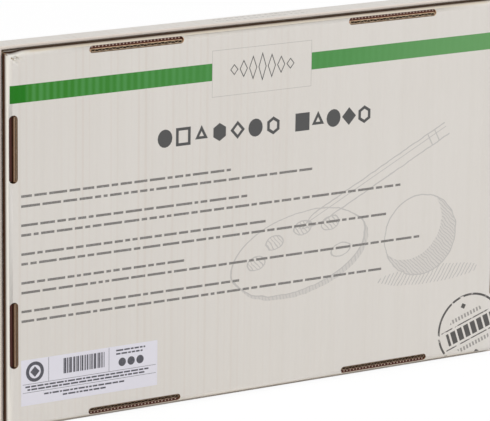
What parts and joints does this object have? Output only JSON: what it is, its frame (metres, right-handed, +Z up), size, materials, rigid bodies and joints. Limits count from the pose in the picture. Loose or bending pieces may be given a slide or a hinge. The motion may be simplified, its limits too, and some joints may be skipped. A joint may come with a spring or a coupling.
{
  "type": "acrylic paint set",
  "caption": "Flat corrugated gift box of acrylic paints: rolled-wall tray with locking tabs, lift-off lid, formed insert, and crimped metal tubes with screw caps.",
  "frame": {"origin": "on the surface the box stands on, under the middle of the closed box", "axes": "+X along the box's long side, to the right as one faces the tray's base panel; +Y through the box, from the tray's base panel to the lid's panel, the way the lid comes off; +Z up, along the tubes from their feet to their caps"},
  "size_m": [0.2548, 0.0166, 0.1714],
  "materials": {
    "board_white": "satin",
    "sticker_paper": "satin",
    "insert_plastic": "gloss",
    "tube_metal": "satin",
    "cap_plastic": "satin"
  },
  "bodies": {
    "tray": {"tray": "board_white", "sticker": "sticker_paper"},
    "lid": {"lid": "board_white"},
    "insert": {"insert": "insert_plastic"},
    "tube_lower_01": {"tube_lower_01": "tube_metal"},
    "tube_lower_02": {"tube_lower_02": "tube_metal"},
    "tube_lower_03": {"tube_lower_03": "tube_metal"},
    "tube_lower_04": {"tube_lower_04": "tube_metal"},
    "tube_lower_05": {"tube_lower_05": "tube_metal"},
    "tube_lower_06": {"tube_lower_06": "tube_metal"},
    "tube_lower_07": {"tube_lower_07": "tube_metal"},
    "tube_lower_08": {"tube_lower_08": "tube_metal"},
    "tube_lower_09": {"tube_lower_09": "tube_metal"},
    "tube_lower_10": {"tube_lower_10": "tube_metal"},
    "tube_lower_11": {"tube_lower_11": "tube_metal"},
    "tube_lower_12": {"tube_lower_12": "tube_metal"},
    "tube_upper_01": {"tube_upper_01": "tube_metal"},
    "tube_upper_02": {"tube_upper_02": "tube_metal"},
    "tube_upper_03": {"tube_upper_03": "tube_metal"},
    "tube_upper_04": {"tube_upper_04": "tube_metal"},
    "tube_upper_05": {"tube_upper_05": "tube_metal"},
    "tube_upper_06": {"tube_upper_06": "tube_metal"},
    "tube_upper_07": {"tube_upper_07": "tube_metal"},
    "tube_upper_08": {"tube_upper_08": "tube_metal"},
    "tube_upper_09": {"tube_upper_09": "tube_metal"},
    "tube_upper_10": {"tube_upper_10": "tube_metal"},
    "tube_upper_11": {"tube_upper_11": "tube_metal"},
    "tube_upper_12": {"tube_upper_12": "tube_metal"},
    "cap_lower_01": {"cap_lower_01": "cap_plastic"},
    "cap_lower_02": {"cap_lower_02": "cap_plastic"},
    "cap_lower_03": {"cap_lower_03": "cap_plastic"},
    "cap_lower_04": {"cap_lower_04": "cap_plastic"},
    "cap_lower_05": {"cap_lower_05": "cap_plastic"},
    "cap_lower_06": {"cap_lower_06": "cap_plastic"},
    "cap_lower_07": {"cap_lower_07": "cap_plastic"},
    "cap_lower_08": {"cap_lower_08": "cap_plastic"},
    "cap_lower_09": {"cap_lower_09": "cap_plastic"},
    "cap_lower_10": {"cap_lower_10": "cap_plastic"},
    "cap_lower_11": {"cap_lower_11": "cap_plastic"},
    "cap_lower_12": {"cap_lower_12": "cap_plastic"},
    "cap_upper_01": {"cap_upper_01": "cap_plastic"},
    "cap_upper_02": {"cap_upper_02": "cap_plastic"},
    "cap_upper_03": {"cap_upper_03": "cap_plastic"},
    "cap_upper_04": {"cap_upper_04": "cap_plastic"},
    "cap_upper_05": {"cap_upper_05": "cap_plastic"},
    "cap_upper_06": {"cap_upper_06": "cap_plastic"},
    "cap_upper_07": {"cap_upper_07": "cap_plastic"},
    "cap_upper_08": {"cap_upper_08": "cap_plastic"},
    "cap_upper_09": {"cap_upper_09": "cap_plastic"},
    "cap_upper_10": {"cap_upper_10": "cap_plastic"},
    "cap_upper_11": {"cap_upper_11": "cap_plastic"},
    "cap_upper_12": {"cap_upper_12": "cap_plastic"}
  },
  "joints": [
    {"name": "lid_lift", "type": "slide", "parent": "tray", "child": "lid", "axis": [0, 1, 0], "range_m": [0, 0.1]},
    {"name": "insert_lift", "type": "slide", "parent": "tray", "child": "insert", "axis": [0, 1, 0], "range_m": [0, 0.03]},
    {"name": "tube_lower_01_lift", "type": "slide", "parent": "insert", "child": "tube_lower_01", "axis": [0, 1, 0], "range_m": [0, 0.03]},
    {"name": "tube_lower_02_lift", "type": "slide", "parent": "insert", "child": "tube_lower_02", "axis": [0, 1, 0], "range_m": [0, 0.03]},
    {"name": "tube_lower_03_lift", "type": "slide", "parent": "insert", "child": "tube_lower_03", "axis": [0, 1, 0], "range_m": [0, 0.03]},
    {"name": "tube_lower_04_lift", "type": "slide", "parent": "insert", "child": "tube_lower_04", "axis": [0, 1, 0], "range_m": [0, 0.03]},
    {"name": "tube_lower_05_lift", "type": "slide", "parent": "insert", "child": "tube_lower_05", "axis": [0, 1, 0], "range_m": [0, 0.03]},
    {"name": "tube_lower_06_lift", "type": "slide", "parent": "insert", "child": "tube_lower_06", "axis": [0, 1, 0], "range_m": [0, 0.03]},
    {"name": "tube_lower_07_lift", "type": "slide", "parent": "insert", "child": "tube_lower_07", "axis": [0, 1, 0], "range_m": [0, 0.03]},
    {"name": "tube_lower_08_lift", "type": "slide", "parent": "insert", "child": "tube_lower_08", "axis": [0, 1, 0], "range_m": [0, 0.03]},
    {"name": "tube_lower_09_lift", "type": "slide", "parent": "insert", "child": "tube_lower_09", "axis": [0, 1, 0], "range_m": [0, 0.03]},
    {"name": "tube_lower_10_lift", "type": "slide", "parent": "insert", "child": "tube_lower_10", "axis": [0, 1, 0], "range_m": [0, 0.03]},
    {"name": "tube_lower_11_lift", "type": "slide", "parent": "insert", "child": "tube_lower_11", "axis": [0, 1, 0], "range_m": [0, 0.03]},
    {"name": "tube_lower_12_lift", "type": "slide", "parent": "insert", "child": "tube_lower_12", "axis": [0, 1, 0], "range_m": [0, 0.03]},
    {"name": "tube_upper_01_lift", "type": "slide", "parent": "insert", "child": "tube_upper_01", "axis": [0, 1, 0], "range_m": [0, 0.03]},
    {"name": "tube_upper_02_lift", "type": "slide", "parent": "insert", "child": "tube_upper_02", "axis": [0, 1, 0], "range_m": [0, 0.03]},
    {"name": "tube_upper_03_lift", "type": "slide", "parent": "insert", "child": "tube_upper_03", "axis": [0, 1, 0], "range_m": [0, 0.03]},
    {"name": "tube_upper_04_lift", "type": "slide", "parent": "insert", "child": "tube_upper_04", "axis": [0, 1, 0], "range_m": [0, 0.03]},
    {"name": "tube_upper_05_lift", "type": "slide", "parent": "insert", "child": "tube_upper_05", "axis": [0, 1, 0], "range_m": [0, 0.03]},
    {"name": "tube_upper_06_lift", "type": "slide", "parent": "insert", "child": "tube_upper_06", "axis": [0, 1, 0], "range_m": [0, 0.03]},
    {"name": "tube_upper_07_lift", "type": "slide", "parent": "insert", "child": "tube_upper_07", "axis": [0, 1, 0], "range_m": [0, 0.03]},
    {"name": "tube_upper_08_lift", "type": "slide", "parent": "insert", "child": "tube_upper_08", "axis": [0, 1, 0], "range_m": [0, 0.03]},
    {"name": "tube_upper_09_lift", "type": "slide", "parent": "insert", "child": "tube_upper_09", "axis": [0, 1, 0], "range_m": [0, 0.03]},
    {"name": "tube_upper_10_lift", "type": "slide", "parent": "insert", "child": "tube_upper_10", "axis": [0, 1, 0], "range_m": [0, 0.03]},
    {"name": "tube_upper_11_lift", "type": "slide", "parent": "insert", "child": "tube_upper_11", "axis": [0, 1, 0], "range_m": [0, 0.03]},
    {"name": "tube_upper_12_lift", "type": "slide", "parent": "insert", "child": "tube_upper_12", "axis": [0, 1, 0], "range_m": [0, 0.03]},
    {"name": "cap_lower_01_turn", "type": "hinge", "parent": "tube_lower_01", "child": "cap_lower_01", "pos_m": [-0.10945, 0.00005, 0.078], "axis": [0, 0, 1], "continuous": true},
    {"name": "cap_lower_02_turn", "type": "hinge", "parent": "tube_lower_02", "child": "cap_lower_02", "pos_m": [-0.08955, 0.00005, 0.078], "axis": [0, 0, 1], "continuous": true},
    {"name": "cap_lower_03_turn", "type": "hinge", "parent": "tube_lower_03", "child": "cap_lower_03", "pos_m": [-0.06965, 0.00005, 0.078], "axis": [0, 0, 1], "continuous": true},
    {"name": "cap_lower_04_turn", "type": "hinge", "parent": "tube_lower_04", "child": "cap_lower_04", "pos_m": [-0.04975, 0.00005, 0.078], "axis": [0, 0, 1], "continuous": true},
    {"name": "cap_lower_05_turn", "type": "hinge", "parent": "tube_lower_05", "child": "cap_lower_05", "pos_m": [-0.02985, 0.00005, 0.078], "axis": [0, 0, 1], "continuous": true},
    {"name": "cap_lower_06_turn", "type": "hinge", "parent": "tube_lower_06", "child": "cap_lower_06", "pos_m": [-0.00995, 0.00005, 0.078], "axis": [0, 0, 1], "continuous": true},
    {"name": "cap_lower_07_turn", "type": "hinge", "parent": "tube_lower_07", "child": "cap_lower_07", "pos_m": [0.00995, 0.00005, 0.078], "axis": [0, 0, 1], "continuous": true},
    {"name": "cap_lower_08_turn", "type": "hinge", "parent": "tube_lower_08", "child": "cap_lower_08", "pos_m": [0.02985, 0.00005, 0.078], "axis": [0, 0, 1], "continuous": true},
    {"name": "cap_lower_09_turn", "type": "hinge", "parent": "tube_lower_09", "child": "cap_lower_09", "pos_m": [0.04975, 0.00005, 0.078], "axis": [0, 0, 1], "continuous": true},
    {"name": "cap_lower_10_turn", "type": "hinge", "parent": "tube_lower_10", "child": "cap_lower_10", "pos_m": [0.06965, 0.00005, 0.078], "axis": [0, 0, 1], "continuous": true},
    {"name": "cap_lower_11_turn", "type": "hinge", "parent": "tube_lower_11", "child": "cap_lower_11", "pos_m": [0.08955, 0.00005, 0.078], "axis": [0, 0, 1], "continuous": true},
    {"name": "cap_lower_12_turn", "type": "hinge", "parent": "tube_lower_12", "child": "cap_lower_12", "pos_m": [0.10945, 0.00005, 0.078], "axis": [0, 0, 1], "continuous": true},
    {"name": "cap_upper_01_turn", "type": "hinge", "parent": "tube_upper_01", "child": "cap_upper_01", "pos_m": [-0.10945, 0.00005, 0.158], "axis": [0, 0, 1], "continuous": true},
    {"name": "cap_upper_02_turn", "type": "hinge", "parent": "tube_upper_02", "child": "cap_upper_02", "pos_m": [-0.08955, 0.00005, 0.158], "axis": [0, 0, 1], "continuous": true},
    {"name": "cap_upper_03_turn", "type": "hinge", "parent": "tube_upper_03", "child": "cap_upper_03", "pos_m": [-0.06965, 0.00005, 0.158], "axis": [0, 0, 1], "continuous": true},
    {"name": "cap_upper_04_turn", "type": "hinge", "parent": "tube_upper_04", "child": "cap_upper_04", "pos_m": [-0.04975, 0.00005, 0.158], "axis": [0, 0, 1], "continuous": true},
    {"name": "cap_upper_05_turn", "type": "hinge", "parent": "tube_upper_05", "child": "cap_upper_05", "pos_m": [-0.02985, 0.00005, 0.158], "axis": [0, 0, 1], "continuous": true},
    {"name": "cap_upper_06_turn", "type": "hinge", "parent": "tube_upper_06", "child": "cap_upper_06", "pos_m": [-0.00995, 0.00005, 0.158], "axis": [0, 0, 1], "continuous": true},
    {"name": "cap_upper_07_turn", "type": "hinge", "parent": "tube_upper_07", "child": "cap_upper_07", "pos_m": [0.00995, 0.00005, 0.158], "axis": [0, 0, 1], "continuous": true},
    {"name": "cap_upper_08_turn", "type": "hinge", "parent": "tube_upper_08", "child": "cap_upper_08", "pos_m": [0.02985, 0.00005, 0.158], "axis": [0, 0, 1], "continuous": true},
    {"name": "cap_upper_09_turn", "type": "hinge", "parent": "tube_upper_09", "child": "cap_upper_09", "pos_m": [0.04975, 0.00005, 0.158], "axis": [0, 0, 1], "continuous": true},
    {"name": "cap_upper_10_turn", "type": "hinge", "parent": "tube_upper_10", "child": "cap_upper_10", "pos_m": [0.06965, 0.00005, 0.158], "axis": [0, 0, 1], "continuous": true},
    {"name": "cap_upper_11_turn", "type": "hinge", "parent": "tube_upper_11", "child": "cap_upper_11", "pos_m": [0.08955, 0.00005, 0.158], "axis": [0, 0, 1], "continuous": true},
    {"name": "cap_upper_12_turn", "type": "hinge", "parent": "tube_upper_12", "child": "cap_upper_12", "pos_m": [0.10945, 0.00005, 0.158], "axis": [0, 0, 1], "continuous": true}
  ],
  "couplings": [
    {"joint": "insert_lift", "follows": "lid_lift", "ratio": 0.3},
    {"joint": "tube_lower_01_lift", "follows": "lid_lift", "ratio": 0.3},
    {"joint": "tube_lower_02_lift", "follows": "lid_lift", "ratio": 0.3},
    {"joint": "tube_lower_03_lift", "follows": "lid_lift", "ratio": 0.3},
    {"joint": "tube_lower_04_lift", "follows": "lid_lift", "ratio": 0.3},
    {"joint": "tube_lower_05_lift", "follows": "lid_lift", "ratio": 0.3},
    {"joint": "tube_lower_06_lift", "follows": "lid_lift", "ratio": 0.3},
    {"joint": "tube_lower_07_lift", "follows": "lid_lift", "ratio": 0.3},
    {"joint": "tube_lower_08_lift", "follows": "lid_lift", "ratio": 0.3},
    {"joint": "tube_lower_09_lift", "follows": "lid_lift", "ratio": 0.3},
    {"joint": "tube_lower_10_lift", "follows": "lid_lift", "ratio": 0.3},
    {"joint": "tube_lower_11_lift", "follows": "lid_lift", "ratio": 0.3},
    {"joint": "tube_lower_12_lift", "follows": "lid_lift", "ratio": 0.3},
    {"joint": "tube_upper_01_lift", "follows": "lid_lift", "ratio": 0.3},
    {"joint": "tube_upper_02_lift", "follows": "lid_lift", "ratio": 0.3},
    {"joint": "tube_upper_03_lift", "follows": "lid_lift", "ratio": 0.3},
    {"joint": "tube_upper_04_lift", "follows": "lid_lift", "ratio": 0.3},
    {"joint": "tube_upper_05_lift", "follows": "lid_lift", "ratio": 0.3},
    {"joint": "tube_upper_06_lift", "follows": "lid_lift", "ratio": 0.3},
    {"joint": "tube_upper_07_lift", "follows": "lid_lift", "ratio": 0.3},
    {"joint": "tube_upper_08_lift", "follows": "lid_lift", "ratio": 0.3},
    {"joint": "tube_upper_09_lift", "follows": "lid_lift", "ratio": 0.3},
    {"joint": "tube_upper_10_lift", "follows": "lid_lift", "ratio": 0.3},
    {"joint": "tube_upper_11_lift", "follows": "lid_lift", "ratio": 0.3},
    {"joint": "tube_upper_12_lift", "follows": "lid_lift", "ratio": 0.3}
  ]
}
